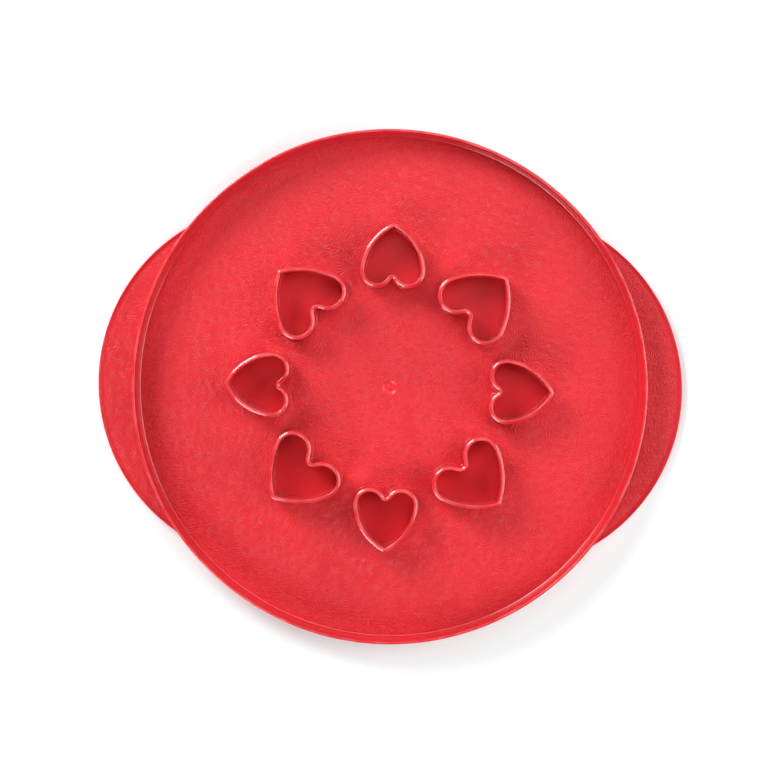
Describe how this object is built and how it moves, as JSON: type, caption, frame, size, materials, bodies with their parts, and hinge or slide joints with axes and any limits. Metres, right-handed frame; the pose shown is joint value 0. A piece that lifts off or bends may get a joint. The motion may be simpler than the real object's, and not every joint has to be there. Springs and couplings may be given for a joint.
{
  "type": "pie top cutter",
  "caption": "Moulded plastic pie-top cutter: flat round plate with a crust-trimming ring, a wreath of heart-shaped cutters and crescent grips.",
  "frame": {"origin": "centre of the flat back face, which the tool lies on", "axes": "+X through the right grip, +Y towards one of the narrow hearts, +Z out of the plate towards the cutting edges"},
  "size_m": [0.3, 0.2614, 0.0156],
  "materials": {
    "grained_red_plastic": "satin moulded plastic with a fine starburst grain",
    "smooth_red_plastic": "smooth glossy moulded plastic"
  },
  "bodies": {
    "root": {"base_plate": "grained_red_plastic", "crust_ring": "smooth_red_plastic", "left_handle": "grained_red_plastic", "right_handle": "grained_red_plastic", "left_handle_bead": "smooth_red_plastic", "right_handle_bead": "smooth_red_plastic", "narrow_heart_cutter_1": "smooth_red_plastic", "narrow_heart_cutter_2": "smooth_red_plastic", "narrow_heart_cutter_3": "smooth_red_plastic", "narrow_heart_cutter_4": "smooth_red_plastic", "wide_heart_cutter_1": "smooth_red_plastic", "wide_heart_cutter_2": "smooth_red_plastic", "wide_heart_cutter_3": "smooth_red_plastic", "wide_heart_cutter_4": "smooth_red_plastic"}
  },
  "joints": []
}
